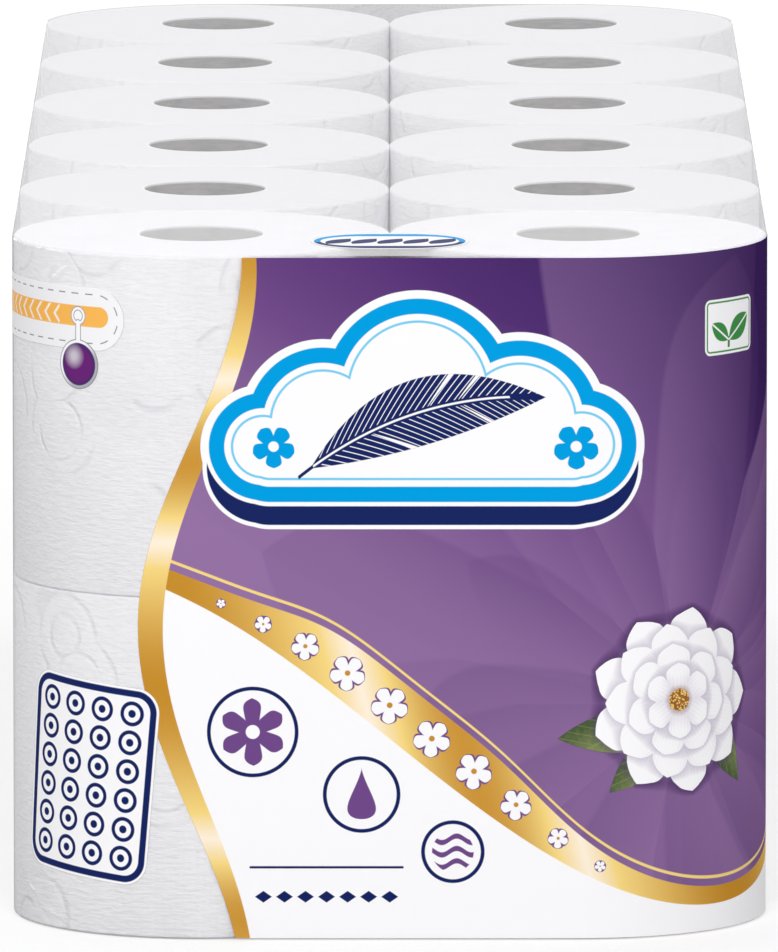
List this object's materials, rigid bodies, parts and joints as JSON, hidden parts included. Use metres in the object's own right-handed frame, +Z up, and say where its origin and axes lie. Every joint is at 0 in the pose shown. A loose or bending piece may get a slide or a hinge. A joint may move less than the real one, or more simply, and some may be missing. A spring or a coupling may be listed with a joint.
{
  "type": "toilet paper roll pack",
  "caption": "Block of toilet paper rolls standing on end in layers, drawn tight in a clear printed film bag with a tear strip and a folded, heat-sealed back.",
  "frame": {"origin": "on the ground, under the middle of the pack's bounding box", "axes": "+Z up along the rolls' axes, -Y out of the printed front, +Y towards the folded back, +X to the right seen from the front"},
  "size_m": [0.2168, 0.65, 0.1966],
  "materials": {
    "tissue": "soft white creped tissue, embossed, matt, with sawn ends",
    "core_board": "grey unbleached board, matt",
    "film": "thin clear polyethylene film, glossy, printed in purple, gold, white and blue on the front and the right corner"
  },
  "bodies": {
    "root": {"roll_row1_left_lower": "tissue", "roll_row1_left_upper": "tissue", "roll_row1_right_lower": "tissue", "roll_row1_right_upper": "tissue", "roll_row2_left_lower": "tissue", "roll_row2_left_upper": "tissue", "roll_row2_right_lower": "tissue", "roll_row2_right_upper": "tissue", "roll_row3_left_lower": "tissue", "roll_row3_left_upper": "tissue", "roll_row3_right_lower": "tissue", "roll_row3_right_upper": "tissue", "roll_row4_left_lower": "tissue", "roll_row4_left_upper": "tissue", "roll_row4_right_lower": "tissue", "roll_row4_right_upper": "tissue", "roll_row5_left_lower": "tissue", "roll_row5_left_upper": "tissue", "roll_row5_right_lower": "tissue", "roll_row5_right_upper": "tissue", "roll_row6_left_lower": "tissue", "roll_row6_left_upper": "tissue", "roll_row6_right_lower": "tissue", "roll_row6_right_upper": "tissue", "core_row1_left_lower": "core_board", "core_row1_left_upper": "core_board", "core_row1_right_lower": "core_board", "core_row1_right_upper": "core_board", "core_row2_left_lower": "core_board", "core_row2_left_upper": "core_board", "core_row2_right_lower": "core_board", "core_row2_right_upper": "core_board", "core_row3_left_lower": "core_board", "core_row3_left_upper": "core_board", "core_row3_right_lower": "core_board", "core_row3_right_upper": "core_board", "core_row4_left_lower": "core_board", "core_row4_left_upper": "core_board", "core_row4_right_lower": "core_board", "core_row4_right_upper": "core_board", "core_row5_left_lower": "core_board", "core_row5_left_upper": "core_board", "core_row5_right_lower": "core_board", "core_row5_right_upper": "core_board", "core_row6_left_lower": "core_board", "core_row6_left_upper": "core_board", "core_row6_right_lower": "core_board", "core_row6_right_upper": "core_board", "film_bag": "film"}
  },
  "joints": []
}
